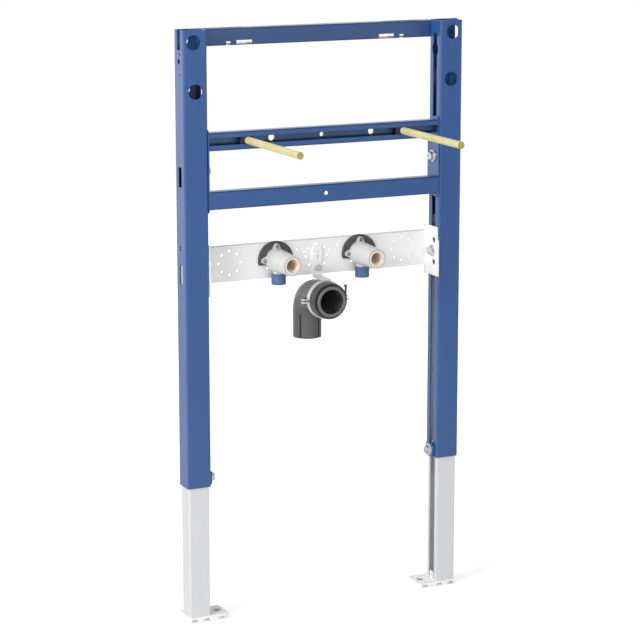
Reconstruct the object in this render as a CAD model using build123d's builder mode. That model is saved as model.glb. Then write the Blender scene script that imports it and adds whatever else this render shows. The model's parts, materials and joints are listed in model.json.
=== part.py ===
from build123d import *
import os

# Heights are measured above the floor and depths back from the front of the
# posts, all in mm, with the legs drawn out as far as they stand in use.

# posts
frame_width = 500
post_width = 41
post_depth = 38
post_wall = 2
post_corner = 3
post_bottom = 231
post_top = 977.5
slot_width = 13
slot_drop = 21.5
access_drop = 19
access_radius = 12
access_shift = 2.5
low_access_drop = 97
wall_hole_radius = 5.5
tab_rise = 3.3
tab_width = 25
tab_slope = 45
tab_corner = 1.5
key_drop = 48.5
key_width = 20
key_height = 25
side_slot_width = 13
side_slot_drops = (15.5, 234, 393)
side_slot_length = 32
side_hole_drops = (50, 349.5)
side_hole_radius = 4.5
pin_hole_drops = (38, 70.5)
pin_hole_radius = 2
pin_hole_shift = 4

# top rail
rail_drop = 2
rail_height = 27.5
rail_depth = 25
rail_sheet = 2
rail_corner = 2.8
rail_lip = 9
rail_lap = 5
top_slot_inset = 54
top_slot_length = 72
top_slot_width = 10
window_inset = 86
window_width = 28
window_height = 6.5
window_rise = 1.4
notch_inset = 58
notch_width = 8
notch_height = 6.5

# telescopic legs and their foot plates
slide_gap = 0.5
leg_wall = 2
leg_corner = 2.6
leg_opening = 18
leg_length = 639
foot_length = 68
foot_depth = 44
foot_height = 10
foot_sheet = 2.5
foot_corner = 3
foot_hole_radius = 6
foot_hole_inset = 12
foot_setback = 2
foot_lead = 0.5
foot_arch_width = 8
foot_arch_height = 5
foot_arch_places = (11, 38, 60)
tongue_gap = 3
tongue_height = 13
tongue_hole_radius = 2.2

# bolts with washers, and the slide nuts behind the slot lips
bolt_radius = 4
bolt_head = 13
bolt_head_height = 5.5
washer_radius = 10.5
washer_sheet = 2
nut_side_gap = 1
nut_length = 30
nut_sheet = 6
nut_gap = 0.3
thread_gap = 0.2
bolt_end = 3

# leg clamps
clamp_size = 24
clamp_sheet = 4.5
clamp_corner = 6

# basin traverse
move_gap = 0.3
end_sheet = 2
end_height = 135
end_corner = 5
end_rear_corner = 20
traverse_height = 751
bar_height = 29.5
bar_depth = 20
bar_wall = 2
bar_corner = 2.8
bar_opening = 12
bar_setback = 0.5
stud_bar_rise = 48
lower_bar_drop = 47
bar_hole_x = 90
bar_hole_radii = (5.5, 3.5, 5)
lower_hole_radius = 3.5

# basin studs
stud_spacing = 280
stud_radius = 5
stud_reach = 200
stud_nut_size = 22
stud_nut_sheet = 6
sleeve_radius = 5.9
sleeve_bore_gap = 0.2
sleeve_end = 2
sleeve_gap = 0.5
sleeve_round = 2

# tap plate
plate_sheet = 2
plate_height = 59
plate_bend = 7
plate_lip = 8
flange_height = 84
flange_drop = 3
flange_step = 22
flange_step_depth = 4
flange_front = 2.5
plate_drop = 158
flange_hole_radius = 4.8
flange_hole_pitch = 38
flange_hole_lead = 6
ring_hole_inset = 51.5
ring_hole_circle = 19.5
ring_hole_count = 8
ring_hole_radius = 2.5
middle_holes = ((23, 8), (37, 14))

# tap connectors
tap_spacing = 153
tap_rise = 1
tap_front = 34
pad_radius = 31
pad_flat = 8
pad_sheet = 4
body_radius = 19.5
body_neck = 16.3
body_flange = 5
lug_radius = 4.5
lug_root = 14
insert_radius = 12.4
insert_bore = 9.3
insert_lead = 3
insert_lead_radius = 10.6
insert_length = 32
insert_stand = 0.8
insert_gap = 0.1
branch_depth = 22
branch_radius = 10
branch_gap = 1
cap_radius = 12
cap_drop = 39
cap_length = 18
cap_base = 3
screw_radius = 2
screw_head_radius = 3.2
screw_head_height = 2
screw_head_gap = 0.3

# drain bend, its seal, clamp and bracket
drain_drop = 67
drain_front = 22
socket_radius = 30
socket_length = 30
socket_wall = 3.5
seal_lead = 6
seal_length = 22
seal_bore = 20
bend_radius = 24
bend_wall = 3
bend_throat = 28.5
bend_turn = 36
bend_axis = 75
spigot_length = 40
groove_width = 3
groove_depth = 1.2
groove_angles = (-54, 29)
ring_sheet = 2
ring_width = 8
ring_back = 6
ring_gap = 0.2
ring_split = 3
ear_length = 10
ear_sheet = 2
clamp_screw_radius = 1.7
clamp_screw_head = 2.6
clamp_screw_head_height = 3
clamp_screw_rise = 15
clamp_screw_end = 4
strap_width = 16
strap_sheet = 2.5
strap_rise = 39
strap_hole_radius = 1.5
strap_hole_drops = (11, 17, 21)
strap_bolt_drop = 38.5
strap_bolt_radius = 6.3
strap_bolt_height = 4

# shared places
post_x = (frame_width - post_width) / 2
inner_x = frame_width / 2 - post_width
rail_top = post_top - rail_drop
face_height = rail_top - rail_lip / 2
rear_y = -rail_depth
front_y = rear_y - post_depth
mid_y = (front_y + rear_y) / 2
plate_mid = traverse_height - plate_drop
flange_mid = plate_mid - flange_drop
tap_height = plate_mid + tap_rise
lug_circle = body_radius + screw_head_radius + screw_head_gap
cap_bottom = tap_height - cap_drop
drain_height = plate_mid - drain_drop
bend_bottom = drain_height - bend_turn - spigot_length


def up(height):
    return height - face_height


def back(depth):
    return front_y + depth


def facing_front(x, y, z):
    return Plane(origin=(x, y, z), x_dir=(1, 0, 0), z_dir=(0, -1, 0))


def facing_side(x, y, z, toward):
    return Plane(origin=(x, y, z), x_dir=(0, toward, 0), z_dir=(toward, 0, 0))


def facing_up(x, y, z):
    return Plane(origin=(x, y, z))


def open_channel(width, depth, wall, corner, opening, toward):
    RectangleRounded(width, depth, corner)
    RectangleRounded(width - 2 * wall, depth - 2 * wall, corner - wall, mode=Mode.SUBTRACT)
    if opening > 0:
        with Locations((toward * width / 2, 0)):
            Rectangle(4 * wall, opening, mode=Mode.SUBTRACT)


def make_post(side):
    x = side * post_x
    outer_x = side * frame_width / 2
    with BuildPart() as post:
        slot_top = post_top - slot_drop
        with BuildSketch(facing_up(x, mid_y, up(post_bottom))):
            open_channel(post_width, post_depth, post_wall, post_corner, slot_width, -side)
        extrude(amount=slot_top - post_bottom)
        # closed head above the slot
        with BuildSketch(facing_up(x, mid_y, up(slot_top))):
            open_channel(post_width, post_depth, post_wall, post_corner, 0, -side)
        extrude(amount=slot_drop)
        # tab over the upper access hole
        with BuildSketch(facing_front(x, front_y + post_wall, up(post_top))) as tab:
            Trapezoid(tab_width, tab_rise, tab_slope, align=(Align.CENTER, Align.MIN))
            fillet(tab.vertices().group_by(Axis.Y)[-1], tab_corner)
        extrude(amount=post_wall)
        # access holes in front and the wall fixing holes behind them
        for y, radius in ((front_y + post_wall, access_radius), (rear_y, wall_hole_radius)):
            with BuildSketch(facing_front(x, y, up(post_top))):
                with Locations((side * access_shift, -access_drop), (0, -low_access_drop)):
                    Circle(radius)
            extrude(amount=post_wall, mode=Mode.SUBTRACT)
        # slots, fixing holes and pin holes of the outer side
        with BuildSketch(facing_side(outer_x, mid_y, up(post_top), -side)):
            for drop in side_slot_drops:
                with Locations((0, -drop)):
                    Rectangle(side_slot_width, side_slot_length)
            for drop in side_hole_drops:
                with Locations((0, -drop)):
                    Circle(side_hole_radius)
            for drop in pin_hole_drops:
                with Locations((side * pin_hole_shift, -drop)):
                    Circle(pin_hole_radius)
        extrude(amount=post_wall, mode=Mode.SUBTRACT)
        # round entry for the slide nuts
        with BuildSketch(facing_side(side * inner_x, mid_y, up(post_top - key_drop), side)):
            Ellipse(key_width / 2, key_height / 2)
        extrude(amount=post_wall, mode=Mode.SUBTRACT)
    return post.part


def make_top_rail():
    half_length = inner_x + rail_lap
    bottom = rail_top - rail_height
    rail_mid = rail_top - rail_height / 2
    with BuildPart() as rail:
        with BuildSketch(Plane.YZ.offset(-half_length)):
            with Locations((-rail_depth / 2, up(rail_mid))):
                open_channel(rail_depth, rail_height, rail_sheet, rail_corner, 0, 1)
            # open at the back below the upper lip
            with Locations((0, up(bottom) + rail_sheet)):
                Rectangle(
                    4 * rail_sheet,
                    rail_height - rail_sheet - rail_lip,
                    align=(Align.CENTER, Align.MIN),
                    mode=Mode.SUBTRACT,
                )
        extrude(amount=2 * half_length)
        # long slots of the top flange
        slot_x = half_length - top_slot_inset
        with BuildSketch(facing_up(0, -rail_depth / 2, up(rail_top) - rail_sheet)):
            with Locations((-slot_x, 0), (slot_x, 0)):
                SlotOverall(top_slot_length, top_slot_width)
        extrude(amount=rail_sheet, mode=Mode.SUBTRACT)
        # windows just above the lower front edge, and notches in that edge
        cuts = (
            (window_inset, window_width, window_height, window_rise),
            (notch_inset, notch_width, notch_height, 0),
        )
        for inset, width, height, rise in cuts:
            x = half_length - inset
            with BuildSketch(facing_front(0, 0, up(bottom) + rise)):
                with Locations((-x, height / 2), (x, height / 2)):
                    Rectangle(width, height)
            extrude(amount=rail_depth, mode=Mode.SUBTRACT)
    return rail.part


def make_leg(side):
    inset = 2 * (post_wall + slide_gap)
    with BuildPart() as leg:
        with BuildSketch(facing_up(side * post_x, mid_y, up(foot_height))):
            open_channel(post_width - inset, post_depth - inset, leg_wall, leg_corner, leg_opening, -side)
        extrude(amount=leg_length)
    return leg.part


def make_foot(side):
    outer_x = frame_width / 2 - foot_setback
    inner_end = outer_x - foot_length
    centre_x = side * (outer_x - foot_length / 2)
    centre_y = back(post_wall + slide_gap - foot_lead + foot_depth / 2)
    with BuildPart() as foot:
        with BuildSketch(facing_up(centre_x, centre_y, up(0))):
            RectangleRounded(foot_length, foot_depth, foot_corner)
        extrude(amount=foot_height)
        with BuildSketch(facing_up(centre_x, centre_y, up(0))):
            Rectangle(foot_length - 2 * foot_sheet, foot_depth - 2 * foot_sheet)
        extrude(amount=foot_height - foot_sheet, mode=Mode.SUBTRACT)
        # arches that leave the long sides standing on short feet
        with BuildSketch(facing_front(0, centre_y, up(0))):
            for place in foot_arch_places:
                with Locations((side * (inner_end + place), 0)):
                    Rectangle(foot_arch_width, 2 * foot_arch_height)
        extrude(amount=foot_depth, both=True, mode=Mode.SUBTRACT)
        with BuildSketch(facing_up(side * (inner_end + foot_hole_inset), centre_y, up(0))):
            Circle(foot_hole_radius)
        extrude(amount=foot_height, mode=Mode.SUBTRACT)
        # upright tongue that fills the open side of the leg
        tongue_x = side * (inner_x + post_wall + slide_gap)
        with BuildSketch(facing_side(tongue_x, mid_y, up(foot_height + tongue_height / 2), side)):
            Rectangle(leg_opening - 2 * tongue_gap, tongue_height)
            Circle(tongue_hole_radius, mode=Mode.SUBTRACT)
        extrude(amount=foot_sheet)
    return foot.part


def make_bolt(side, seat_x, height):
    z = up(height)
    nut_x = inner_x + post_wall + nut_gap
    with BuildPart() as bolt:
        with BuildSketch(facing_side(side * seat_x, mid_y, z, -side)):
            Circle(washer_radius)
        extrude(amount=washer_sheet)
        with BuildSketch(facing_side(side * (seat_x - washer_sheet), mid_y, z, -side)):
            RegularPolygon(bolt_head / 2, 6, major_radius=False)
        extrude(amount=bolt_head_height)
        with BuildSketch(facing_side(side * seat_x, mid_y, z, side)):
            Circle(bolt_radius)
        extrude(amount=nut_x + nut_sheet + bolt_end - seat_x)
        with BuildSketch(facing_side(side * nut_x, mid_y, z, side)):
            Rectangle(leg_opening - 2 * nut_side_gap, nut_length)
            Circle(bolt_radius + thread_gap, mode=Mode.SUBTRACT)
        extrude(amount=nut_sheet)
    return bolt.part


def make_clamp(side):
    with BuildPart() as clamp:
        with BuildSketch(facing_side(side * inner_x, mid_y, up(post_bottom + clamp_size / 2), -side)):
            RectangleRounded(clamp_size, clamp_size, clamp_corner)
            Circle(bolt_radius + thread_gap, mode=Mode.SUBTRACT)
        extrude(amount=clamp_sheet)
    return clamp.part


def make_end_plate(side):
    with BuildPart() as plate:
        with BuildSketch(facing_side(side * (inner_x - move_gap), mid_y, up(traverse_height), -side)) as outline:
            Rectangle(post_depth, end_height)
            front, rear = outline.vertices().group_by(Axis.X)[::-side]
            chamfer(front, end_corner)
            chamfer(rear, end_rear_corner)
            Circle(bolt_radius + thread_gap, mode=Mode.SUBTRACT)
        extrude(amount=end_sheet)
    return plate.part


def make_bar(height, toward, hole_x, hole_radii):
    half_length = inner_x - move_gap - end_sheet
    centre_y = front_y + bar_setback + bar_depth / 2
    wall_y = centre_y - toward * bar_depth / 2
    with BuildPart() as bar:
        with BuildSketch(Plane.YZ.offset(-half_length)):
            with Locations((centre_y, up(height))):
                open_channel(bar_depth, bar_height, bar_wall, bar_corner, bar_opening, toward)
        extrude(amount=2 * half_length)
        for x, radius in zip(hole_x, hole_radii):
            with BuildSketch(facing_front(x, wall_y, up(height))):
                Circle(radius)
            extrude(amount=2 * bar_wall, both=True, mode=Mode.SUBTRACT)
    return bar.part


def make_stud(side):
    x = side * stud_spacing / 2
    z = up(traverse_height + stud_bar_rise)
    nut_y = back(bar_setback + bar_wall + stud_nut_sheet)
    end_y = front_y - stud_reach + sleeve_end + sleeve_gap
    with BuildPart() as stud:
        with BuildSketch(facing_front(x, nut_y, z)):
            Circle(stud_radius)
        extrude(amount=nut_y - end_y)
    return stud.part


def make_stud_nut(side):
    x = side * stud_spacing / 2
    z = up(traverse_height + stud_bar_rise)
    nut_y = back(bar_setback + bar_wall + stud_nut_sheet)
    with BuildPart() as nut:
        with BuildSketch(facing_front(x, nut_y, z)):
            Rectangle(stud_nut_size, stud_nut_size)
            Circle(stud_radius + thread_gap, mode=Mode.SUBTRACT)
        extrude(amount=stud_nut_sheet)
    return nut.part


def make_sleeve(side):
    x = side * stud_spacing / 2
    z = up(traverse_height + stud_bar_rise)
    base_y = back(bar_setback) - sleeve_gap
    tip_y = front_y - stud_reach
    with BuildPart() as sleeve:
        with BuildSketch(facing_front(x, base_y, z)):
            Circle(sleeve_radius)
        extrude(amount=base_y - tip_y)
        fillet(sleeve.edges().group_by(Axis.Y)[-1], sleeve_round)
        with BuildSketch(facing_front(x, base_y, z)):
            Circle(stud_radius + sleeve_bore_gap)
        extrude(amount=base_y - tip_y - sleeve_end, mode=Mode.SUBTRACT)
    return sleeve.part


def make_tap_plate():
    outer_x = inner_x - move_gap
    flat_x = outer_x - plate_bend
    flange_bottom = flange_mid - flange_height / 2
    flange_top = flange_bottom + flange_height
    lowest_y = front_y - flange_front
    with BuildPart() as plate:
        # sheet bent forward at both ends
        depth = rear_y - lowest_y
        for sheet, mode in ((0, Mode.ADD), (plate_sheet, Mode.SUBTRACT)):
            with BuildSketch(facing_up(0, rear_y - sheet, up(flange_bottom))) as outline:
                Rectangle(2 * (outer_x - sheet), depth - sheet, align=(Align.CENTER, Align.MAX))
                fillet(outline.vertices().group_by(Axis.Y)[-1], plate_bend - sheet)
            extrude(amount=flange_height, mode=mode)
        # the middle is lower than its end flanges
        for z, toward in ((plate_mid + plate_height / 2, 1), (plate_mid - plate_height / 2, -1)):
            with BuildSketch(facing_up(0, mid_y, up(z))):
                Rectangle(2 * flat_x, 4 * post_depth)
            extrude(amount=toward * flange_height, mode=Mode.SUBTRACT)
        # upper front corner of each flange set back
        with BuildSketch(facing_up(0, lowest_y, up(flange_top - flange_step))):
            Rectangle(2 * frame_width, 2 * flange_step_depth)
        extrude(amount=flange_step, mode=Mode.SUBTRACT)
        # stiffening lip along the top
        with BuildSketch(facing_up(0, rear_y, up(plate_mid + plate_height / 2) - plate_sheet)):
            Rectangle(2 * flat_x, plate_lip, align=(Align.CENTER, Align.MIN))
        extrude(amount=plate_sheet)
        # rings of holes at every tap place and behind the strap
        with BuildSketch(facing_front(0, rear_y, up(tap_height))):
            ring_x = inner_x - ring_hole_inset
            for x in (-ring_x, -tap_spacing / 2, 0, tap_spacing / 2, ring_x):
                with Locations((x, 0)):
                    with PolarLocations(ring_hole_circle, ring_hole_count):
                        Circle(ring_hole_radius)
            for x, z in middle_holes:
                with Locations((-x, z), (x, z)):
                    Circle(ring_hole_radius)
        extrude(amount=plate_sheet, mode=Mode.SUBTRACT)
        # bolt hole and spare holes of each flange
        for side in (-1, 1):
            with BuildSketch(facing_side(side * outer_x, mid_y, up(flange_mid), -side)):
                Circle(bolt_radius + thread_gap)
                lead = side * flange_hole_lead
                with Locations((lead, flange_hole_pitch / 2), (lead, -flange_hole_pitch / 2)):
                    Circle(flange_hole_radius)
            extrude(amount=plate_sheet, mode=Mode.SUBTRACT)
    return plate.part


def tap_plane(side, y):
    return facing_front(side * tap_spacing / 2, y, up(tap_height))


def make_pad(side):
    with BuildPart() as pad:
        with BuildSketch(tap_plane(side, rear_y - plate_sheet)):
            Circle(pad_radius)
            with Locations((0, -pad_flat)):
                Rectangle(4 * pad_radius, 2 * pad_radius, align=(Align.CENTER, Align.MAX), mode=Mode.SUBTRACT)
        extrude(amount=pad_sheet)
    return pad.part


def lug_points():
    return (0, lug_circle), (-lug_circle, 0), (lug_circle, 0)


def make_tap_body(side):
    seat_y = rear_y - plate_sheet - pad_sheet
    neck_y = front_y - tap_front + insert_stand
    with BuildPart() as body:
        # flange on the pad, with three lugs that narrow outward
        with BuildSketch(tap_plane(side, seat_y)):
            Circle(body_radius)
        extrude(amount=body_flange)
        for point in lug_points():
            with BuildSketch(tap_plane(side, seat_y)) as lug:
                Circle(lug_root)
                with Locations(point):
                    Circle(lug_radius)
                make_hull(lug.edges())
            extrude(amount=body_flange)
        # tapered housing
        with BuildSketch(tap_plane(side, seat_y - body_flange)):
            Circle(body_radius)
        with BuildSketch(tap_plane(side, neck_y)):
            Circle(body_neck)
        loft()
        # branch that takes the pipe from below
        with BuildSketch(facing_up(side * tap_spacing / 2, back(branch_depth), up(cap_bottom + cap_base))):
            Circle(branch_radius)
        extrude(amount=tap_height - pad_flat - branch_gap - cap_bottom - cap_base)
        # socket of the threaded insert
        with BuildSketch(tap_plane(side, neck_y)):
            Circle(insert_radius + insert_gap)
        extrude(amount=-(insert_length - insert_stand), mode=Mode.SUBTRACT)
        with BuildSketch(tap_plane(side, seat_y)):
            with Locations(*lug_points()):
                Circle(screw_radius + thread_gap)
        extrude(amount=body_flange, mode=Mode.SUBTRACT)
    return body.part


def make_insert(side):
    with BuildPart() as insert:
        with BuildSketch(tap_plane(side, front_y - tap_front + insert_length)):
            Circle(insert_radius)
            Circle(insert_bore, mode=Mode.SUBTRACT)
        extrude(amount=insert_length)
        # wider entry in front of the thread
        with BuildSketch(tap_plane(side, front_y - tap_front)):
            Circle(insert_lead_radius)
        extrude(amount=-insert_lead, mode=Mode.SUBTRACT)
    return insert.part


def make_tap_screws(side):
    seat_y = rear_y - plate_sheet - pad_sheet - body_flange
    with BuildPart() as screws:
        with BuildSketch(tap_plane(side, seat_y)):
            with Locations(*lug_points()):
                Circle(screw_head_radius)
        extrude(amount=screw_head_height)
        with BuildSketch(tap_plane(side, seat_y)):
            with Locations(*lug_points()):
                Circle(screw_radius)
        extrude(amount=-body_flange)
    return screws.part


def make_cap(side):
    with BuildPart() as cap:
        with BuildSketch(facing_up(side * tap_spacing / 2, back(branch_depth), up(cap_bottom))):
            Circle(cap_radius)
        extrude(amount=cap_length)
        with BuildSketch(facing_up(side * tap_spacing / 2, back(branch_depth), up(cap_bottom + cap_base))):
            Circle(branch_radius + insert_gap)
        extrude(amount=cap_length, mode=Mode.SUBTRACT)
        # hollowed under the round housing above it
        with BuildSketch(tap_plane(side, back(branch_depth + 2 * cap_radius))):
            Circle(body_radius + insert_gap)
        extrude(amount=4 * cap_radius, mode=Mode.SUBTRACT)
    return cap.part


def drain_plane(depth):
    return facing_front(0, back(depth), up(drain_height))


def make_bend():
    socket_start = seal_lead - drain_front
    socket_end = socket_start + socket_length
    level = up(drain_height)
    with BuildPart() as bend:
        # elbow that narrows from the socket to the upright end
        with BuildLine(Plane.YZ) as path:
            first = Line((back(socket_end), level), (back(bend_axis - bend_turn), level))
            RadiusArc(first @ 1, (back(bend_axis), level - bend_turn), bend_turn)
        with BuildSketch(facing_front(0, back(socket_end), level)):
            Circle(bend_throat)
        with BuildSketch(facing_up(0, back(bend_axis), level - bend_turn)):
            Circle(bend_radius)
        sweep(path=path.line, multisection=True)
        with BuildSketch(facing_up(0, back(bend_axis), up(bend_bottom))):
            Circle(bend_radius)
        extrude(amount=spigot_length)
        with BuildSketch(facing_front(0, back(socket_end), level)):
            Circle(bend_radius - bend_wall)
        sweep(path=path.line, mode=Mode.SUBTRACT)
        with BuildSketch(facing_up(0, back(bend_axis), up(bend_bottom))):
            Circle(bend_radius - bend_wall)
        extrude(amount=spigot_length, mode=Mode.SUBTRACT)
        # socket in front of the clamp
        with BuildSketch(drain_plane(socket_end)):
            Circle(socket_radius)
            Circle(bend_radius - bend_wall, mode=Mode.SUBTRACT)
        extrude(amount=socket_length)
        with BuildSketch(drain_plane(socket_start + seal_length - seal_lead)):
            Circle(socket_radius - socket_wall)
        extrude(amount=seal_length, mode=Mode.SUBTRACT)
        # grooves along the upright end
        with BuildSketch(facing_up(0, back(bend_axis), up(bend_bottom))):
            for angle in groove_angles:
                with Locations(Location((0, 0, 0), (0, 0, angle))):
                    with Locations((0, -bend_radius)):
                        Rectangle(groove_width, 2 * groove_depth)
        extrude(amount=spigot_length, mode=Mode.SUBTRACT)
    return bend.part


def make_seal():
    with BuildPart() as seal:
        with BuildSketch(drain_plane(seal_length - drain_front)):
            Circle(socket_radius - socket_wall - insert_gap)
            Circle(seal_bore, mode=Mode.SUBTRACT)
        extrude(amount=seal_length)
    return seal.part


def ring_depth():
    return seal_lead - drain_front + socket_length - ring_back


def clamp_screw_plane():
    top = ring_split / 2 + ear_sheet
    return facing_up(0, back(ring_depth() - ring_width / 2), up(drain_height) + top)


def ear_reach():
    return socket_radius + ring_gap + ring_sheet + ear_length / 2


def ear_places():
    return Locations((-ear_reach(), 0), (ear_reach(), 0))


def make_pipe_clamp():
    inner = socket_radius + ring_gap
    outer = inner + ring_sheet
    with BuildPart() as clamp:
        with BuildSketch(drain_plane(ring_depth())):
            Circle(outer)
            with Locations((-outer, 0), (outer, 0)):
                Rectangle(2 * ear_length, 2 * ear_sheet + ring_split)
            Circle(inner, mode=Mode.SUBTRACT)
            Rectangle(4 * outer, ring_split, mode=Mode.SUBTRACT)
        extrude(amount=ring_width)
        with BuildSketch(clamp_screw_plane()):
            with ear_places():
                Circle(clamp_screw_radius + thread_gap)
        extrude(amount=-ring_split - 2 * ear_sheet, mode=Mode.SUBTRACT)
    return clamp.part


def make_clamp_screws():
    with BuildPart() as screws:
        with BuildSketch(clamp_screw_plane()):
            with ear_places():
                Circle(clamp_screw_radius)
        extrude(amount=-ring_split - 2 * ear_sheet - clamp_screw_end)
        # the left screw is driven home, the right one still stands above its ear
        for side, rise in ((-1, 0), (1, clamp_screw_rise)):
            with BuildSketch(clamp_screw_plane()):
                with Locations((side * ear_reach(), 0)):
                    Circle(clamp_screw_radius)
            extrude(amount=rise + clamp_screw_head_height)
            with BuildSketch(clamp_screw_plane().offset(rise)):
                with Locations((side * ear_reach(), 0)):
                    Circle(clamp_screw_head)
            extrude(amount=clamp_screw_head_height)
    return screws.part


def make_strap():
    foot_z = up(drain_height) + socket_radius + ring_gap + ring_sheet
    plate_y = rear_y - plate_sheet
    strap_top = up(plate_mid) + strap_rise / 2
    reach = plate_y - back(ring_depth() - ring_width)
    with BuildPart() as strap:
        with BuildSketch(facing_front(0, plate_y, foot_z)):
            head_z = strap_top - foot_z - strap_width / 2
            Rectangle(strap_width, head_z, align=(Align.CENTER, Align.MIN))
            with Locations((0, head_z)):
                Circle(strap_width / 2)
            for drop in strap_hole_drops:
                with Locations((0, strap_top - foot_z - drop)):
                    Circle(strap_hole_radius, mode=Mode.SUBTRACT)
        extrude(amount=strap_sheet)
        with BuildSketch(facing_front(0, plate_y, foot_z)):
            Rectangle(strap_width, strap_sheet, align=(Align.CENTER, Align.MIN))
        extrude(amount=reach)
    return strap.part


def make_strap_bolt():
    z = up(plate_mid) + strap_rise / 2 - strap_bolt_drop
    with BuildPart() as bolt:
        with BuildSketch(facing_front(0, rear_y - plate_sheet - strap_sheet, z)):
            RegularPolygon(strap_bolt_radius, 6)
        extrude(amount=strap_bolt_height)
    return bolt.part


def save(piece, name):
    piece.label = name
    export_step(piece, f"parts/{name}.step")


os.makedirs("parts", exist_ok=True)
end_x = inner_x - move_gap - end_sheet
plate_x = inner_x - move_gap - plate_sheet
for name, side in (("left", -1), ("right", 1)):
    save(make_post(side), f"{name}_post")
    save(make_leg(side), f"{name}_leg")
    save(make_foot(side), f"{name}_foot_plate")
    save(make_clamp(side), f"{name}_leg_clamp")
    save(make_bolt(side, inner_x - clamp_sheet, post_bottom + clamp_size / 2), f"{name}_leg_bolt")
    save(make_end_plate(side), f"{name}_end_plate")
    save(make_bolt(side, end_x, traverse_height), f"{name}_traverse_bolt")
    save(make_stud(side), f"{name}_stud")
    save(make_stud_nut(side), f"{name}_stud_nut")
    save(make_sleeve(side), f"{name}_stud_sleeve")
    save(make_bolt(side, plate_x, flange_mid), f"{name}_plate_bolt")
    save(make_pad(side), f"{name}_tap_pad")
    save(make_tap_body(side), f"{name}_tap_body")
    save(make_insert(side), f"{name}_tap_insert")
    save(make_tap_screws(side), f"{name}_tap_screws")
    save(make_cap(side), f"{name}_pipe_cap")
save(make_top_rail(), "top_rail")
save(make_bar(traverse_height + stud_bar_rise, -1, (-bar_hole_x, 0, bar_hole_x), bar_hole_radii), "stud_bar")
save(make_bar(traverse_height - lower_bar_drop, 1, (0,), (lower_hole_radius,)), "lower_bar")
save(make_tap_plate(), "tap_plate")
save(make_strap(), "drain_strap")
save(make_strap_bolt(), "strap_bolt")
save(make_bend(), "drain_bend")
save(make_seal(), "drain_seal")
save(make_pipe_clamp(), "pipe_clamp")
save(make_clamp_screws(), "clamp_screws")
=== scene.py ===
import json
from math import cos, pi, radians, sin, tau
import bmesh
import bpy
from mathutils import Matrix, Vector


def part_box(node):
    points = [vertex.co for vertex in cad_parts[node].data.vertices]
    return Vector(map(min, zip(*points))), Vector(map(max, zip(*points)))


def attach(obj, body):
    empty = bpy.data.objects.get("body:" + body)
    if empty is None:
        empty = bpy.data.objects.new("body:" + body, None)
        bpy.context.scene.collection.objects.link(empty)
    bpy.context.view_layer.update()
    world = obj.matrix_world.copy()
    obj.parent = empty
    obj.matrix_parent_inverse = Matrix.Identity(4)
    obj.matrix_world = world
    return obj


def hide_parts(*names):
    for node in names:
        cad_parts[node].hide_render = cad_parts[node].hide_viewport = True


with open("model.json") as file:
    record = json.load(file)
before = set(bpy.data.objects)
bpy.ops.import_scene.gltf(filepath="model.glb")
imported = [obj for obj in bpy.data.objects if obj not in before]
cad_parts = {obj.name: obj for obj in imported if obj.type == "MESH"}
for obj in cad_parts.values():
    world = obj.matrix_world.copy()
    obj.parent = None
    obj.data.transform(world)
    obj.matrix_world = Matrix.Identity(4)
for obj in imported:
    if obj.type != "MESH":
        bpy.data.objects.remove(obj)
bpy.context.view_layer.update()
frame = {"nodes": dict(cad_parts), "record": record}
scene = bpy.context.scene
scene.view_settings.view_transform = "Standard"
mounts = {mount["name"]: mount for mount in frame["record"]["mounts"]}


# shader maths: a socket that takes part in Python expressions
class Sock:
    def __init__(self, paint, socket):
        self.paint = paint
        self.socket = socket

    def maths(self, operation, first, second=0.0, clamp=False):
        settings = {"operation": operation, "use_clamp": clamp}
        return self.paint.node("ShaderNodeMath", settings, {0: first, 1: second})

    def __add__(self, other):
        return self.maths("ADD", self, other)

    def __radd__(self, other):
        return self.maths("ADD", other, self)

    def __sub__(self, other):
        return self.maths("SUBTRACT", self, other)

    def __rsub__(self, other):
        return self.maths("SUBTRACT", other, self)

    def __mul__(self, other):
        return self.maths("MULTIPLY", self, other)

    def __rmul__(self, other):
        return self.maths("MULTIPLY", other, self)

    def __truediv__(self, other):
        return self.maths("DIVIDE", self, other)

    def __pow__(self, other):
        return self.maths("POWER", self, other)

    def held(self):
        return self.maths("ADD", self, 0.0, clamp=True)

    def most(self, other):
        return self.maths("MAXIMUM", self, other)


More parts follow.
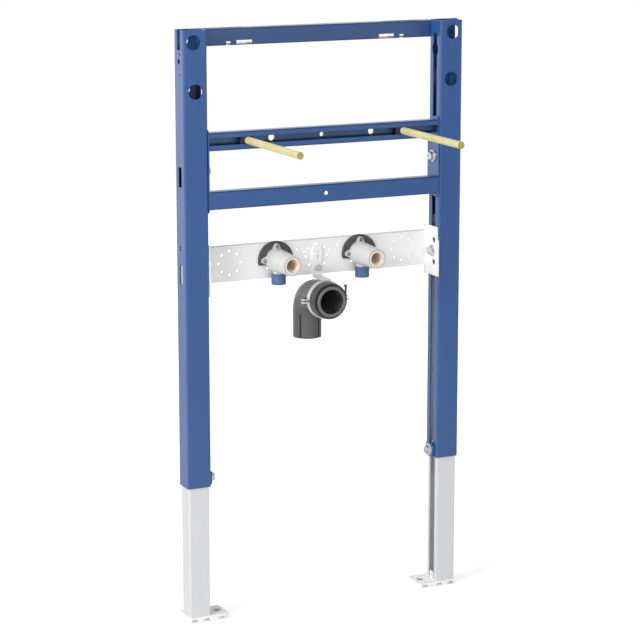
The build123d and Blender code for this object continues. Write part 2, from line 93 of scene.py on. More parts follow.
class Paint:
    def __init__(self, owner):
        owner.use_nodes = True
        self.tree = owner.node_tree
        self.tree.nodes.clear()

    def node(self, kind, settings=None, sockets=None, out=0):
        made = self.tree.nodes.new(kind)
        for key, value in (settings or {}).items():
            if key == "stops":
                ramp = made.color_ramp.elements
                while len(ramp) < len(value):
                    ramp.new(1.0)
                for stop, (place, shade) in zip(ramp, value):
                    stop.position = place
                    stop.color = (shade, shade, shade, 1.0)
            else:
                setattr(made, key, value)
        for key, value in (sockets or {}).items():
            if isinstance(value, Sock):
                self.tree.links.new(value.socket, made.inputs[key])
            elif isinstance(value, tuple) and len(value) == 3 and made.inputs[key].type == "RGBA":
                made.inputs[key].default_value = (*value, 1.0)
            else:
                made.inputs[key].default_value = value
        return Sock(self, made.outputs[out]) if len(made.outputs) else made

    def place(self, stretch):
        where = self.node("ShaderNodeTexCoord", out="Object")
        return self.node("ShaderNodeMapping", None, {"Vector": where, "Scale": stretch})

    def noise(self, scale, detail=2.0, stretch=(1, 1, 1), rough=0.5):
        return self.node("ShaderNodeTexNoise", None, {"Vector": self.place(stretch), "Scale": scale,
                                                      "Detail": detail, "Roughness": rough})

    # random shade for each cell, as in zinc crystals
    def cells(self, scale):
        sockets = {"Vector": self.place((1, 1, 1)), "Scale": scale}
        colour = self.node("ShaderNodeTexVoronoi", None, sockets, "Color")
        return self.node("ShaderNodeRGBToBW", None, {"Color": colour})

    def ramp(self, value, *stops):
        return self.node("ShaderNodeValToRGB", {"stops": stops}, {"Fac": value})

    def mix(self, share, first, second):
        return self.node("ShaderNodeMix", {"data_type": "RGBA"}, {0: share, 6: first, 7: second}, out=2)

    # one coordinate of the point, in the object's own metres
    def at(self, axis):
        where = self.node("ShaderNodeTexCoord", out="Object")
        return self.node("ShaderNodeSeparateXYZ", None, {0: where}, out=axis)

    # one component of the surface's own direction
    def facing(self, axis, kind="Normal"):
        away = self.node("ShaderNodeNewGeometry", out=kind)
        return self.node("ShaderNodeSeparateXYZ", None, {0: away}, out=axis)

    def rounded(self, radius):
        return self.node("ShaderNodeBevel", {"samples": 6}, {"Radius": radius})

    # 1 on the edges and 0 on the flats
    def rims(self, radius, gain):
        both = {0: self.rounded(radius), 1: self.node("ShaderNodeNewGeometry", out="Normal")}
        turn = self.node("ShaderNodeVectorMath", {"operation": "DOT_PRODUCT"}, both, out="Value")
        return ((1 - turn) * gain).held()

    def bump(self, height, strength, distance, edge):
        return self.node("ShaderNodeBump", None, {"Height": height, "Strength": strength,
                                                  "Distance": distance, "Normal": self.rounded(edge)})

    def surface(self, **sockets):
        named = {key.replace("_", " "): value for key, value in sockets.items()}
        shader = self.node("ShaderNodeBsdfPrincipled", None, named)
        self.node("ShaderNodeOutputMaterial", None, {"Surface": shader})


def newFinish(name):
    finish = bpy.data.materials.new(name)
    return finish, Paint(finish)


# blue powder coat: orange peel, cloudy tone, painted shade on the bends that face up or down and along the
# edges
powderBlue = {"colour": (0.015, 0.084, 0.285), "deep": (0.012, 0.076, 0.263), "edge": (0.014, 0.055, 0.170),
              "fold": (0.006, 0.028, 0.090), "foldShare": 0.90, "rough": 0.40, "coat": 0.85,
              "coatRough": 0.20, "cloud": 7, "chips": 320, "haze": 420, "peel": 1500, "swell": 260,
              "rim": 0.0010, "rimGain": 5.0, "edgeRound": 0.0009}
# a darker copy of the coat for the top rail: painted shade
railShadedBlue = {"colour": (0.021, 0.074, 0.225), "deep": (0.018, 0.067, 0.205)}
# painted light inside the stud bar's channel and painted shade low down in it
channelLightAndShade = {"colour": (0.062, 0.150, 0.330), "shade": (0.001, 0.026, 0.095), "shadeDrop": 0.0032,
              "shadeGain": 420, "depth": 0.0035, "depthGain": 1200}


# tones: the coat's two blues; the last argument names a node whose channel gets painted light inside and
# painted shade low down
def makePowderBlue(name="powder_blue", tones=powderBlue, paintedChannel=None):
    finish, p = newFinish(name)
    cloud = p.noise(powderBlue["cloud"], 4)
    # painted shade along the edges, broken up by noise
    rim = p.rims(powderBlue["rim"], powderBlue["rimGain"]) * p.noise(powderBlue["chips"], 3)
    tone = p.mix(p.ramp(cloud, (0.35, 0.0), (0.68, 1.0)), tones["colour"], tones["deep"])
    if paintedChannel:                                       # painted light inside the channel, painted shade low down
        low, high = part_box(paintedChannel)
        sunk = ((low.z + high.z) / 2 - channelLightAndShade["shadeDrop"] - p.at("Z")) * channelLightAndShade["shadeGain"]
        channelPaint = p.mix(sunk.held(), channelLightAndShade["colour"], channelLightAndShade["shade"])
        inside = (p.at("Y") - low.y - channelLightAndShade["depth"]) * channelLightAndShade["depthGain"]
        tone = p.mix(inside.held(), tone, channelPaint)
    up = p.facing("Z") * p.facing("Z")
    fold = (4 * up * (1 - up)).held()               # 1 where a bend faces up or down at 45 degrees
    # painted shade on those bends, which also lose their coat
    tone = p.mix(fold * powderBlue["foldShare"], tone, powderBlue["fold"])
    peel = p.noise(powderBlue["peel"], 2) + 0.35 * p.noise(powderBlue["swell"], 2)
    haze = p.noise(powderBlue["haze"])
    p.surface(Base_Color=p.mix(rim * 0.9, tone, powderBlue["edge"]),
              Roughness=powderBlue["rough"] + 0.10 * (cloud - 0.5) + 0.06 * (haze - 0.5), IOR=1.5,
              Coat_Weight=powderBlue["coat"] * (1 - fold), Coat_Roughness=powderBlue["coatRough"],
              Normal=p.bump(peel, 0.10, 0.0003, powderBlue["edgeRound"]))
    return finish


# hot-dip zinc: fine spangle, rolling streaks up the strip, worn edges
galvanised = {"colour": (0.825, 0.827, 0.835), "dull": (0.775, 0.778, 0.788), "edge": (0.92, 0.92, 0.93),
              "rim": 0.0009, "rimGain": 5.0, "metal": 0.55, "rough": 0.36, "edgeRound": 0.0008,
              "spangle": 170, "streak": 60, "streakLong": 0.03, "cloud": 9, "grain": 900}
# the plate's zinc is a paler, matt copy, painted light, with painted shade along its cut edges
plateZinc = {**galvanised, "colour": (0.950, 0.950, 0.945), "dull": (0.920, 0.920, 0.918),
             "edge": (0.20, 0.20, 0.21), "metal": 0.05, "rough": 0.52, "edgeRound": 0.0006}
# the feet: a wider band of painted shade along their edges
footZinc = {**plateZinc, "edge": (0.16, 0.16, 0.165), "rim": 0.0016}


def makeGalvanised(name="galvanised", tones=galvanised):
    finish, p = newFinish(name)
    spangle = p.cells(tones["spangle"])
    streak = p.noise(tones["streak"], 3, stretch=(1, 1, tones["streakLong"]))
    cloud = p.noise(tones["cloud"], 4)
    rim = p.rims(tones["rim"], tones["rimGain"])
    share = (0.45 * spangle + 0.35 * streak + 0.45 * cloud - 0.22).held()
    tone = p.mix(share, tones["dull"], tones["colour"])
    relief = spangle * 0.5 + p.noise(tones["grain"], 2) * 0.5
    # the edge tone is lighter wear on the legs and painted shade on the plate, strap and feet
    p.surface(Base_Color=p.mix(rim * 0.7, tone, tones["edge"]),
              Roughness=tones["rough"] + 0.12 * (spangle - 0.5) + 0.08 * (streak - 0.5),
              Metallic=tones["metal"], IOR=1.5,
              Normal=p.bump(relief, 0.03, 0.0003, tones["edgeRound"]))
    return finish


# electroplated zinc of the fasteners: bright, with turning marks and patches of dark grime
zincFastener = {"colour": (0.80, 0.81, 0.82), "dull": (0.52, 0.53, 0.55), "edge": (0.90, 0.90, 0.91),
                "metal": 0.95, "rough": 0.24, "fleck": 700, "stain": 180, "rim": 0.0006, "rimGain": 4.0,
                "edgeRound": 0.0004}
darkScrew = {"colour": (0.150, 0.150, 0.155), "dull": (0.080, 0.080, 0.085), "edge": (0.26, 0.26, 0.27)}
# a darker copy for the screws on the tap lugs: painted shade
tapScrewShaded = {"colour": (0.420, 0.420, 0.425), "dull": (0.260, 0.260, 0.265), "edge": (0.56, 0.56, 0.57)}


def makeZincFastener(name="zinc_fastener", tones=zincFastener):
    finish, p = newFinish(name)
    fleck = p.noise(zincFastener["fleck"], 3)
    stain = p.noise(zincFastener["stain"], 4)
    rim = p.rims(zincFastener["rim"], zincFastener["rimGain"])
    tone = p.mix(p.ramp(stain, (0.36, 0.0), (0.58, 1.0)), tones["dull"], tones["colour"])
    p.surface(Base_Color=p.mix(rim, tone, tones["edge"]),
              Roughness=zincFastener["rough"] + 0.22 * (fleck - 0.5) + 0.10 * (1 - stain) - 0.05,
              Metallic=zincFastener["metal"],
              Normal=p.bump(fleck, 0.10, 0.0002, zincFastener["edgeRound"]))
    return finish


# near-black steel of the nuts inside the stud bar, painted shade of the channel they sit in, with rubbed wear
shadedNutSteel = {"colour": (0.030, 0.031, 0.034), "worn": (0.075, 0.077, 0.082), "metal": 0.4, "rough": 0.46,
              "rub": 240, "grain": 1500, "rim": 0.0008, "rimGain": 3.5, "edgeRound": 0.0006}


def makeShadedNutSteel():
    finish, p = newFinish("black_steel")
    rub = p.noise(shadedNutSteel["rub"], 4)
    grain = p.noise(shadedNutSteel["grain"], 2)
    rim = p.rims(shadedNutSteel["rim"], shadedNutSteel["rimGain"])
    worn = (p.ramp(rub, (0.42, 0.0), (0.74, 1.0)) * 0.5 + rim * 0.5).held()
    p.surface(Base_Color=p.mix(worn, shadedNutSteel["colour"], shadedNutSteel["worn"]),
              Roughness=shadedNutSteel["rough"] + 0.14 * (rub - 0.5), Metallic=shadedNutSteel["metal"],
              Normal=p.bump(grain, 0.10, 0.0002, shadedNutSteel["edgeRound"]))
    return finish


# milky yellow tube with draw lines along its length; painted shade on its front end face, painted highlight
# along its edges
yellowTube = {"colour": (0.600, 0.548, 0.205), "pale": (0.690, 0.650, 0.340), "end": (0.390, 0.376, 0.108),
              "rough": 0.36, "draw": 420, "drawLong": 0.02, "cloud": 40, "rim": 0.0010, "rimGain": 3.0,
              "sheen": 0.25, "sheenRough": 0.35, "sheenTint": (1.0, 0.98, 0.80), "edgeRound": 0.0006}


def makeYellowTube():
    finish, p = newFinish("yellow_plastic")
    draw = p.noise(yellowTube["draw"], 3, stretch=(1, yellowTube["drawLong"], 1))
    cloud = p.noise(yellowTube["cloud"], 3)
    rim = p.rims(yellowTube["rim"], yellowTube["rimGain"])
    milk = p.ramp(0.6 * cloud + 0.4 * draw, (0.35, 0.0), (0.65, 1.0))
    tone = p.mix(milk, yellowTube["colour"], yellowTube["pale"])
    # painted highlight along the edges
    tone = p.mix(rim * 0.6, tone, yellowTube["pale"])
    # painted shade on the end faces toward the front
    end = p.ramp(0 - p.facing("Y", "True Normal"), (0.72, 0.0), (0.90, 1.0))
    p.surface(Base_Color=p.mix(end, tone, yellowTube["end"]),
              Roughness=yellowTube["rough"] + 0.14 * (draw - 0.5), IOR=1.45,
              Sheen_Weight=yellowTube["sheen"], Sheen_Roughness=yellowTube["sheenRough"],
              Sheen_Tint=yellowTube["sheenTint"],
              Normal=p.bump(draw, 0.12, 0.0002, yellowTube["edgeRound"]))
    return finish


# moulded white plastic with a fine spark-eroded grain
whiteShell = {"colour": (0.675, 0.675, 0.664), "shade": (0.625, 0.625, 0.612), "edge": (0.84, 0.84, 0.83),
              "rough": 0.42, "grain": 2200, "cloud": 36, "rim": 0.0012, "rimGain": 3.0, "edgeRound": 0.0010}


def makeWhiteShell():
    finish, p = newFinish("white_plastic")
    grain = p.noise(whiteShell["grain"], 2)
    cloud = p.noise(whiteShell["cloud"], 4)
    rim = p.rims(whiteShell["rim"], whiteShell["rimGain"])
    tone = p.mix(p.ramp(cloud, (0.32, 0.0), (0.70, 1.0)), whiteShell["shade"], whiteShell["colour"])
    p.surface(Base_Color=p.mix(rim * 0.5, tone, whiteShell["edge"]),
              Roughness=whiteShell["rough"] + 0.12 * (grain - 0.5), IOR=1.48,
              Normal=p.bump(grain, 0.10, 0.0002, whiteShell["edgeRound"]))
    return finish


# cast gunmetal: turned pale on its end face; in the bore painted shade at the mouth and a bright tone deeper
# in, painted light; painted shade round its brim's side wall
gunmetal = {"colour": (0.990, 0.810, 0.690), "dark": (0.970, 0.780, 0.655), "pale": (0.905, 0.805, 0.715),
            "mouth": (0.580, 0.450, 0.365), "mouthDepth": 0.0050, "seam": (0.030, 0.025, 0.020),
            "seamFrom": 0.0140, "seamGain": 4000, "metal": 0.30, "rough": 0.34, "lathe": 900,
            "latheLong": 0.05, "stain": 150, "rim": 0.0008, "rimGain": 4.0, "edgeRound": 0.0005}


def makeGunmetal():
    finish, p = newFinish("bronze")
    lathe = p.noise(gunmetal["lathe"], 2, stretch=(gunmetal["latheLong"], 1, gunmetal["latheLong"]))
    stain = p.noise(gunmetal["stain"], 4)
    rim = p.rims(gunmetal["rim"], gunmetal["rimGain"])
    tone = p.mix(p.ramp(stain, (0.30, 0.0), (0.62, 1.0)), gunmetal["dark"], gunmetal["colour"])
    face = p.ramp(0 - p.facing("Y"), (0.60, 0.0), (0.92, 1.0))
    # painted shade at the mouth of the bore and painted light deeper in it
    deep = ((p.at("Y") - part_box("right_tap_insert")[0].y) / gunmetal["mouthDepth"]).held()
    tone = p.mix((face + rim * 0.3).held(), p.mix(deep, gunmetal["mouth"], tone), gunmetal["pale"])
    socketX, _, socketZ = mounts["right_tap_socket"]["pos_m"]
    aside = (p.at("X") * p.at("X")) ** 0.5 - socketX            # the same for both taps
    rise = p.at("Z") - socketZ
    # painted shade round the brim's side wall
    seam = (((aside * aside + rise * rise) ** 0.5 - gunmetal["seamFrom"]) * gunmetal["seamGain"]).held()
    p.surface(Base_Color=p.mix(seam * (1 - face), tone, gunmetal["seam"]),
              Roughness=gunmetal["rough"] + 0.16 * (lathe - 0.5) + 0.08 * (stain - 0.5),
              Metallic=gunmetal["metal"] * face,
              Normal=p.bump(lathe, 0.06, 0.0002, gunmetal["edgeRound"]))
    return finish


# dark rubber pad with bloom and dust on its edges
padRubber = {"colour": (0.060, 0.060, 0.062), "bloom": (0.110, 0.110, 0.112), "rough": 0.62, "patch": 70,
             "grain": 1600, "rim": 0.0014, "rimGain": 3.0, "edgeRound": 0.0010}


def makePadRubber():
    finish, p = newFinish("pad_rubber")
    patch = p.noise(padRubber["patch"], 5)
    grain = p.noise(padRubber["grain"], 2)
    rim = p.rims(padRubber["rim"], padRubber["rimGain"])
    dust = (p.ramp(patch, (0.40, 0.0), (0.75, 1.0)) * 0.6 + rim * 0.5).held()
    p.surface(Base_Color=p.mix(dust, padRubber["colour"], padRubber["bloom"]),
              Roughness=padRubber["rough"] + 0.16 * (patch - 0.5),
              Normal=p.bump(grain, 0.18, 0.0003, padRubber["edgeRound"]))
    return finish


# blue site plug, softer and more matt than the powder coat
capBlue = {"colour": (0.060, 0.124, 0.262), "pale": (0.120, 0.200, 0.350), "rough": 0.48, "cloud": 110,
           "grain": 1400, "rim": 0.0012, "rimGain": 3.5, "edgeRound": 0.0009}


def makeCapBlue():
    finish, p = newFinish("cap_blue")
    cloud = p.noise(capBlue["cloud"], 4)
    grain = p.noise(capBlue["grain"], 2)
    rim = p.rims(capBlue["rim"], capBlue["rimGain"])
    rubbed = (p.ramp(cloud, (0.35, 0.0), (0.75, 1.0)) * 0.4 + rim * 0.5).held()
    p.surface(Base_Color=p.mix(rubbed, capBlue["colour"], capBlue["pale"]),
              Roughness=capBlue["rough"] + 0.14 * (cloud - 0.5),
              Normal=p.bump(grain, 0.12, 0.0003, capBlue["edgeRound"]))
    return finish


# grey drain plastic: slightly glossy, with flow marks, a dark collar and painted shade in the grooves of the
# spigot
drainGrey = {"colour": (0.098, 0.098, 0.099), "pale": (0.160, 0.160, 0.161), "rough": 0.34, "flow": 26,
             "flowLong": 0.35, "speck": 1300, "rim": 0.0014, "rimGain": 3.5, "edgeRound": 0.0012,
             "coat": 0.10, "coatRough": 0.25, "collar": (0.044, 0.044, 0.045), "collarGain": 1500,
             "groove": (0.010, 0.010, 0.011), "grooveDepth": 0.0004, "grooveGain": 3000,
             "grooveTop": 0.030, "grooveTopGain": 900}


def makeDrainGrey():
    finish, p = newFinish("drain_grey")
    flow = p.noise(drainGrey["flow"], 5, stretch=(1, 1, drainGrey["flowLong"]), rough=0.6)
    speck = p.noise(drainGrey["speck"], 3)
    rim = p.rims(drainGrey["rim"], drainGrey["rimGain"])
    marks = (p.ramp(flow, (0.35, 0.0), (0.72, 1.0)) * 0.45 + rim * 0.55).held()
    tone = p.mix(marks, drainGrey["colour"], drainGrey["pale"])
    collar = ((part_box("pipe_clamp")[0].y - p.at("Y")) * drainGrey["collarGain"]).held()
    spigotX, spigotY, spigotZ = mounts["drain_spigot"]["pos_m"]
    grooveFloor = mounts["drain_spigot"]["dims"]["r_mm"] / 1000 - drainGrey["grooveDepth"]
    aside, behind = p.at("X") - spigotX, p.at("Y") - spigotY
    reach = (aside * aside + behind * behind) ** 0.5
    # painted shade in the grooves of the spigot
    groove = ((grooveFloor - reach) * drainGrey["grooveGain"]).held()
    below = ((spigotZ + drainGrey["grooveTop"] - p.at("Z")) * drainGrey["grooveTopGain"]).held()
    tone = p.mix(groove * below, tone, drainGrey["groove"])
    p.surface(Base_Color=p.mix(collar * (1 - 0.4 * rim), tone, drainGrey["collar"]),
              Roughness=drainGrey["rough"] + 0.16 * (flow - 0.5) + 0.08 * (speck - 0.5), IOR=1.5,
              Coat_Weight=drainGrey["coat"], Coat_Roughness=drainGrey["coatRough"],
              Normal=p.bump(speck, 0.07, 0.0003, drainGrey["edgeRound"]))
    return finish


# rubber of the drain seal: greyer on its front faces, painted light; nearly black down the bore, painted
# shade
sealRubber = {"colour": (0.060, 0.060, 0.062), "lip": (0.175, 0.175, 0.177), "bore": (0.008, 0.008, 0.008),
              "boreFrom": 0.0014, "boreGain": 900, "rough": 0.50, "bloom": 90, "grain": 1500,
              "rim": 0.0010, "rimGain": 3.5, "edgeRound": 0.0008}


def makeSealRubber():
    finish, p = newFinish("seal_rubber")
    bloom = p.noise(sealRubber["bloom"], 4)
    grain = p.noise(sealRubber["grain"], 2)
    rim = p.rims(sealRubber["rim"], sealRubber["rimGain"])
    # painted light on the faces toward the front
    front = p.ramp(0 - p.facing("Y"), (0.55, 0.0), (0.90, 1.0))
    grey = (p.ramp(bloom, (0.38, 0.0), (0.72, 1.0)) * 0.2 + rim * 0.3 + front * 0.7).held()
    tone = p.mix(grey, sealRubber["colour"], sealRubber["lip"])
    # painted shade down the bore
    depth = p.at("Y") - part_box("drain_seal")[0].y - sealRubber["boreFrom"]
    p.surface(Base_Color=p.mix((depth * sealRubber["boreGain"]).held(), tone, sealRubber["bore"]),
              Roughness=sealRubber["rough"] + 0.14 * (bloom - 0.5),
              Normal=p.bump(grain, 0.14, 0.0003, sealRubber["edgeRound"]))
    return finish


finishes = {
    "powder_blue": makePowderBlue(),
    "galvanised": makeGalvanised(),
    "zinc_fastener": makeZincFastener(),
    "black_steel": makeShadedNutSteel(),
    "yellow_plastic": makeYellowTube(),
    "white_plastic": makeWhiteShell(),
    "bronze": makeGunmetal(),
    "pad_rubber": makePadRubber(),
    "cap_blue": makeCapBlue(),
    "drain_grey": makeDrainGrey(),
    "seal_rubber": makeSealRubber(),
}
tapScrewShadedZinc = makeZincFastener("zinc_tap_screw", tapScrewShaded)
# nodes with a finish of their own, apart from their slot's
variants = {
    "top_rail": makePowderBlue("powder_blue_rail", railShadedBlue),
    "stud_bar": makePowderBlue("powder_blue_lined", powderBlue, "stud_bar"),
    "tap_plate": makeGalvanised("galvanised_plate", plateZinc),
    "drain_strap": makeGalvanised("galvanised_strap", plateZinc),
    "left_foot_plate": makeGalvanised("galvanised_foot", footZinc),
    "clamp_screws": makeZincFastener("zinc_clamp_screw", darkScrew),
}
variants["right_foot_plate"] = variants["left_foot_plate"]
slotOf = {part["node"]: part["material_slot"] for part in frame["record"]["subparts"]}
for name, node in frame["nodes"].items():
    if not node.data.materials:
        node.data.materials.append(None)
    for hold in node.material_slots:
        hold.material = variants.get(name, finishes[slotOf[name]])
print("finishes:", len(finishes), "on the packed nodes")


# mesh helpers: rings of points round an axis, joined into a skin
def axisPlace(origin, axis):
    return Matrix.Translation(Vector(origin)) @ Vector(axis).to_track_quat("Z", "Y").to_matrix().to_4x4()


# a ring is (radius, place along the axis), or a function of the angle that gives both
def skinRings(bm, rings, place, steps=48, closed=False):
    rows = []
    for ring in rings:
        row = []
        for k in range(steps):
            angle = tau * k / steps
            radius, along = ring(angle) if callable(ring) else ring
            row.append(bm.verts.new(place @ Vector((radius * cos(angle), radius * sin(angle), along))))
        rows.append(row)
    pairs = list(zip(rows, rows[1:]))
    if closed:
        pairs.append((rows[-1], rows[0]))
    for low, high in pairs:
        for k in range(steps):
            n = (k + 1) % steps
            bm.faces.new((low[k], low[n], high[n], high[k]))


# how deep a thread is cut here, from 0 on its crest to 1 at its root
def threadWave(along, angle, pitch):
    return abs(((along / pitch - angle / tau) % 1.0) * 2 - 1)


def newPiece(name, bm, body, slot, stands, sharp=35, finish=None):
    bmesh.ops.remove_doubles(bm, verts=bm.verts, dist=1e-6)
    bmesh.ops.dissolve_degenerate(bm, edges=bm.edges, dist=1e-7)
    bmesh.ops.recalc_face_normals(bm, faces=bm.faces)
    mesh = bpy.data.meshes.new(name)
    bm.to_mesh(mesh)
    bm.free()
    mesh.shade_smooth()
    mesh.set_sharp_from_angle(angle=radians(sharp))
    mesh.materials.append(finish or finishes[slot])
    piece = bpy.data.objects.new(name, mesh)
    scene.collection.objects.link(piece)
    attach(piece, body)
    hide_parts(*stands)


# hexagon bolts with a chamfered head, a rolled washer and the slide nut behind the slot
hexBolt = {"washerRadius": 0.0105, "washerSheet": 0.0020, "across": 0.0130, "headHeight": 0.0055,
           "levels": (0.0, 0.6, 0.7, 0.8, 0.88, 0.94, 1.0), "coneStart": 0.47, "coneSlope": 1.75,
           "dishOuter": 0.43, "dishInner": 0.36, "dishDepth": 0.0003, "shankRadius": 0.0040,
           "pitch": 0.00125, "threadDepth": 0.00035, "ringsPerTurn": 6, "tip": 0.0008, "tipShare": 0.8,
           "nutStart": 0.2113, "nutSheet": 0.0060, "nutWidth": 0.0160, "nutLength": 0.0300,
           "nutRound": 0.0012}
# the washer's rolled section, as shares of its radius and its sheet
washerOutline = ((0.90, 0.0), (0.97, 0.16), (1.0, 0.5), (0.985, 0.9), (0.95, 1.0))


def hexRadius(angle, across):
    turn = (angle + pi / 6) % (pi / 3) - pi / 6
    return across / 2 / cos(turn)


def addHexHead(bm, place):
    across, height = hexBolt["across"], hexBolt["headHeight"]

    def layer(along):
        cone = across * hexBolt["coneStart"] + (height - along) * hexBolt["coneSlope"]
        return lambda angle: (min(hexRadius(angle, across), cone), along)
    dish = height - hexBolt["dishDepth"]
    rings = [(0.0, 0.0)] + [layer(height * level) for level in hexBolt["levels"]]
    rings += [(across * hexBolt["dishOuter"], height), (across * hexBolt["dishInner"], dish), (0.0, dish)]
    skinRings(bm, rings, place, steps=60)


def addWasher(bm, place, seat):
    radius, sheet, hole = hexBolt["washerRadius"], hexBolt["washerSheet"], hexBolt["shankRadius"]
    rim = [(radius * out, seat + sheet * rise) for out, rise in washerOutline]
    skinRings(bm, [(hole, seat), *rim, (hole, seat + sheet)], place, closed=True)


def addShank(bm, place, start, length):
    radius, depth = hexBolt["shankRadius"], hexBolt["threadDepth"]
    count = int((length - start) / hexBolt["pitch"] * hexBolt["ringsPerTurn"])

    def thread(k):
        along = start + (length - hexBolt["tip"] - start) * k / count
        return lambda angle: (radius - depth * threadWave(along, angle, hexBolt["pitch"]), along)
    rings = [(0.0, start)] + [thread(k) for k in range(count + 1)]
    skinRings(bm, rings + [(radius * hexBolt["tipShare"], length), (0.0, length)], place, steps=24)


def addRoundedBlock(bm, middle, size, corner):
    spread = Matrix.Translation(middle) @ Matrix.Diagonal((*size, 1.0))
    made = bmesh.ops.create_cube(bm, size=1.0, matrix=spread)
    edges = {edge for point in made["verts"] for edge in point.link_edges}
    bmesh.ops.bevel(bm, geom=list(edges), offset=corner, segments=3, profile=0.5, affect="EDGES")


def makeHexBolt(node, body, side):
    low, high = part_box(node)
    middle = (low + high) / 2
    top, far = (high.x, low.x) if side < 0 else (low.x, high.x)     # head toward the frame's middle
    place = axisPlace((top, middle.y, middle.z), (side, 0, 0))
    seat = hexBolt["headHeight"]
    bm = bmesh.new()
    addHexHead(bm, place @ Matrix.Translation((0, 0, seat)) @ Matrix.Rotation(pi, 4, "X"))
    addWasher(bm, place, seat)
    addShank(bm, place, seat + hexBolt["washerSheet"], abs(far - top))
    nutMiddle = Vector((side * (hexBolt["nutStart"] + hexBolt["nutSheet"] / 2), middle.y, middle.z))
    nutSize = (hexBolt["nutSheet"], hexBolt["nutWidth"], hexBolt["nutLength"])
    addRoundedBlock(bm, nutMiddle, nutSize, hexBolt["nutRound"])
    newPiece("hex_" + node, bm, body, "zinc_fastener", [node])


for word, side in (("left", -1), ("right", 1)):
    makeHexBolt(word + "_leg_bolt", "frame", side)
    makeHexBolt(word + "_traverse_bolt", "traverse", side)
    makeHexBolt(word + "_plate_bolt", "tap_plate", side)
print("hexagon bolts: 6")


# pan-head screws with a cross recess on the lugs of the tap housings
panScrew = {"headRadius": 0.0032, "headHeight": 0.0020, "edgeShare": 0.45, "rings": 14, "shankRadius": 0.0020,
            "slotHalf": 0.00045, "slotReach": 0.0019, "slotDepth": 0.0009,
            "turn": 0.35, "turnEach": 0.8, "turnSide": 0.5}


def addPanScrew(bm, place, depth, turn):
    head, height, shank = panScrew["headRadius"], panScrew["headHeight"], panScrew["shankRadius"]

    def dome(radius):
        rise = panScrew["edgeShare"] + (1 - panScrew["edgeShare"]) * (1 - (radius / head) ** 3)

        def at(angle):
            x, y = radius * cos(angle + turn), radius * sin(angle + turn)
            inCross = min(abs(x), abs(y)) < panScrew["slotHalf"] and radius < panScrew["slotReach"]
            return radius, height * rise - (panScrew["slotDepth"] if inCross else 0.0)
        return at
    radii = [head * k / panScrew["rings"] for k in range(panScrew["rings"], 0, -1)]
    rings = [(0.0, -depth), (shank, -depth), (shank, 0.0), (head, 0.0)]
    rings += [dome(radius) for radius in radii] + [(0.0, height - panScrew["slotDepth"])]
    skinRings(bm, rings, place, steps=64)


def makeTapScrews(word, side):
    node = word + "_tap_screws"
    low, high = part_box(node)
    inset = panScrew["headRadius"]
    seat = low.y + panScrew["headHeight"]
    lower = low.z + inset
    places = (((low.x + high.x) / 2, high.z - inset), (low.x + inset, lower), (high.x - inset, lower))
    bm = bmesh.new()
    for k, (x, z) in enumerate(places):
        turn = panScrew["turn"] + panScrew["turnEach"] * k + panScrew["turnSide"] * side
        addPanScrew(bm, axisPlace((x, seat, z), (0, -1, 0)), high.y - seat, turn)
    newPiece(word + "_tap_pan_screws", bm, "tap_plate", "zinc_fastener", [node], 28, tapScrewShadedZinc)


# gunmetal inserts: a brim with a chamfer, a lead-in and a cut pipe thread
tapInsert = {"radius": 0.0124, "brim": 0.0146, "brimSheet": 0.0007, "chamfer": 0.0005, "bore": 0.0093,
             "lead": 0.0106, "leadDepth": 0.0030, "leadRound": 0.0004, "pitch": 0.00181, "thread": 0.00075,
             "threadStart": 0.0008, "ringsPerTurn": 8, "relief": 0.024}


def makeTapInsert(word):
    node = word + "_tap_insert"
    low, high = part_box(node)
    middle = (low + high) / 2
    length = high.y - low.y
    place = axisPlace((middle.x, low.y, middle.z), (0, 1, 0))
    r, bore, cut, depth = (tapInsert[size] for size in ("radius", "bore", "chamfer", "thread"))
    brim, sheet = tapInsert["brim"], tapInsert["brimSheet"]
    lead, leadRound = tapInsert["lead"], tapInsert["leadRound"]
    rings = [(bore + depth, length), (r - cut, length), (r, length - cut), (r, sheet),
             (brim, sheet), (brim, cut), (brim - cut, 0.0),
             (lead + leadRound, 0.0), (lead, leadRound), (lead, tapInsert["leadDepth"])]
    count = int(tapInsert["relief"] / tapInsert["pitch"] * tapInsert["ringsPerTurn"])

    def thread(k):
        along = tapInsert["leadDepth"] + tapInsert["threadStart"] + tapInsert["relief"] * k / count
        return lambda angle: (bore + depth * threadWave(along, angle, tapInsert["pitch"]), along)
    rings += [thread(k) for k in range(count + 1)]
    bm = bmesh.new()
    skinRings(bm, rings, place, steps=48, closed=True)
    newPiece(word + "_threaded_insert", bm, "tap_plate", "bronze", [node], sharp=40)


for word, side in (("left", -1), ("right", 1)):
    makeTapScrews(word, side)
    makeTapInsert(word)
print("tap connectors: screws and threaded inserts")


# lip seal of the drain socket: a rounded front bead and three lips in the bore
drainSeal = {"outer": 0.0264, "bore": 0.0200, "bead": 0.0012, "lips": (0.006, 0.011, 0.016), "groove": 0.0016}
# one lip, as steps out from the bore and along it
lipOutline = ((0.0016, -0.0018), (0.0012, -0.0006), (0.0, 0.0), (0.0004, 0.0006), (0.0016, 0.0010))


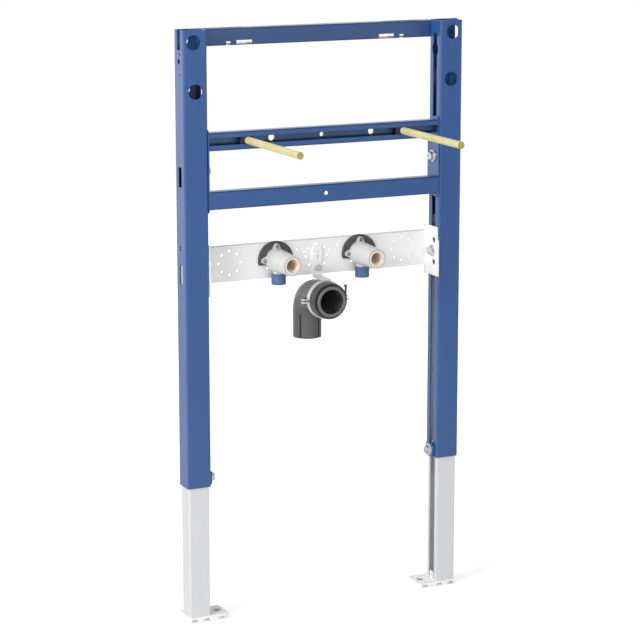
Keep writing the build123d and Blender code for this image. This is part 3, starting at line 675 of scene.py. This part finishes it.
def makeDrainSeal():
    low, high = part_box("drain_seal")
    middle = (low + high) / 2
    length = high.y - low.y
    place = axisPlace((middle.x, low.y, middle.z), (0, 1, 0))
    r, bore, bead = drainSeal["outer"], drainSeal["bore"], drainSeal["bead"]
    rings = [(r, length), (r, bead * 2.2), (r - bead * 0.3, bead), (r - bead, bead * 0.25),
             (r - bead * 2.0, 0.0), (bore + bead * 1.7, 0.0), (bore + bead * 0.8, bead * 0.3),
             (bore + bead * 0.2, bead * 1.1), (bore, bead * 2.2)]
    for lip in drainSeal["lips"]:
        rings += [(bore + out, lip + along) for out, along in lipOutline]
    rings.append((bore + drainSeal["groove"], length))
    bm = bmesh.new()
    skinRings(bm, rings, place, steps=80, closed=True)
    newPiece("drain_lip_seal", bm, "tap_plate", "seal_rubber", ["drain_seal"], sharp=50)


makeDrainSeal()
print("drain seal: lips turned")


# camera and studio
studio = {"camera": (-1.6620, -3.5383, 0.3322), "target": (-0.0108, -0.0610, -0.4786), "lens": 133.84,
          "sensor": 36.0, "farClip": 60, "lampTarget": (0.0, -0.03, -0.45)}
floorDisc = {"height": -0.9712, "radius": 7.0, "sides": 96, "tone": (0.86, 0.86, 0.86), "glow": 0.84,
             "dim": (0.165, 0.52), "bright": (0.29, 1.0), "fadeFrom": (0.20, 0.0), "fadeTo": (0.75, 1.0)}
# shine is what gloss sees, white behind the frame and dimmer elsewhere; soft is the fill on matt surfaces
sky = {"shine": 0.78, "shineAhead": 0.20, "shineRight": 0.30, "shineUp": 0.40,
       "soft": 0.53, "softRight": 0.18, "softUp": 0.10}
lamps = {
    "key": {"place": (-3.4, -1.3, 1.2), "size": 1.8, "watts": 104},
    "front": {"place": (0.1, -4.3, 0.7), "size": 1.6, "watts": 32},
    "top": {"place": (0.2, -0.4, 2.4), "size": 2.0, "watts": 12},
}


def aimAt(thing, target):
    thing.rotation_mode = "QUATERNION"
    thing.rotation_quaternion = (Vector(target) - thing.location).to_track_quat("-Z", "Y")


def makeCamera():
    lens = bpy.data.cameras.new("view")
    lens.lens = studio["lens"]
    lens.sensor_width = studio["sensor"]
    lens.clip_end = studio["farClip"]
    eye = bpy.data.objects.new("view", lens)
    eye.location = studio["camera"]
    aimAt(eye, studio["target"])
    scene.collection.objects.link(eye)
    scene.camera = eye


def makeLamp(name, place, size, watts):
    lamp = bpy.data.lights.new(name, "AREA")
    lamp.shape = "SQUARE"
    lamp.size = size
    lamp.energy = watts
    holder = bpy.data.objects.new(name, lamp)
    holder.location = place
    aimAt(holder, studio["lampTarget"])
    scene.collection.objects.link(holder)


# matt disc that brightens away from the feet and fades out into the white
def makeFloor():
    bm = bmesh.new()
    bmesh.ops.create_circle(bm, cap_ends=True, segments=floorDisc["sides"], radius=floorDisc["radius"],
                            matrix=Matrix.Translation((0, 0, floorDisc["height"])))
    mesh = bpy.data.meshes.new("floor")
    bm.to_mesh(mesh)
    bm.free()
    floor = bpy.data.objects.new("floor", mesh)
    scene.collection.objects.link(floor)
    finish, p = newFinish("studio_floor")
    where = p.node("ShaderNodeTexCoord", out="Object")
    away = p.node("ShaderNodeVectorMath", {"operation": "LENGTH"}, {0: where}, out="Value")
    share = away / floorDisc["radius"]
    bright = p.ramp(share, floorDisc["dim"], floorDisc["bright"])
    fade = p.ramp(share, floorDisc["fadeFrom"], floorDisc["fadeTo"])
    seen = p.node("ShaderNodeLightPath", out="Is Camera Ray")
    matt = p.node("ShaderNodeBsdfDiffuse", None, {"Color": floorDisc["tone"]})
    glow = p.node("ShaderNodeEmission", None, {"Color": bright, "Strength": seen * floorDisc["glow"]})
    lit = p.node("ShaderNodeAddShader", None, {0: matt, 1: glow})
    clear = p.node("ShaderNodeBsdfTransparent")
    shown = p.node("ShaderNodeMixShader", None, {0: fade, 1: lit, 2: clear})
    p.node("ShaderNodeOutputMaterial", None, {"Surface": shown})
    mesh.materials.append(finish)


def makeWorld():
    world = bpy.data.worlds.new("studio")
    scene.world = world
    p = Paint(world)
    camera, gloss, through = (p.node("ShaderNodeLightPath", out=f"Is {ray} Ray")
                              for ray in ("Camera", "Glossy", "Transmission"))
    toward = p.node("ShaderNodeTexCoord", out="Generated")
    right, ahead, up = (p.node("ShaderNodeSeparateXYZ", None, {0: toward}, out=axis) for axis in "XYZ")
    shine = sky["shine"] + sky["shineAhead"] * ahead
    shine = shine - sky["shineRight"] * right.most(0.0) - sky["shineUp"] * up.most(0.0)
    soft = sky["soft"] - sky["softRight"] * right - sky["softUp"] * up
    mirrored = gloss.most(through)
    shown = camera.most(mirrored * shine).most((1 - mirrored) * soft)
    back = p.node("ShaderNodeBackground", None, {"Color": (1, 1, 1), "Strength": shown})
    p.node("ShaderNodeOutputWorld", None, {"Surface": back})


makeCamera()
makeFloor()
makeWorld()
for name, lamp in lamps.items():
    makeLamp(name, **lamp)
print("studio: camera, floor, world and", len(lamps), "lamps")
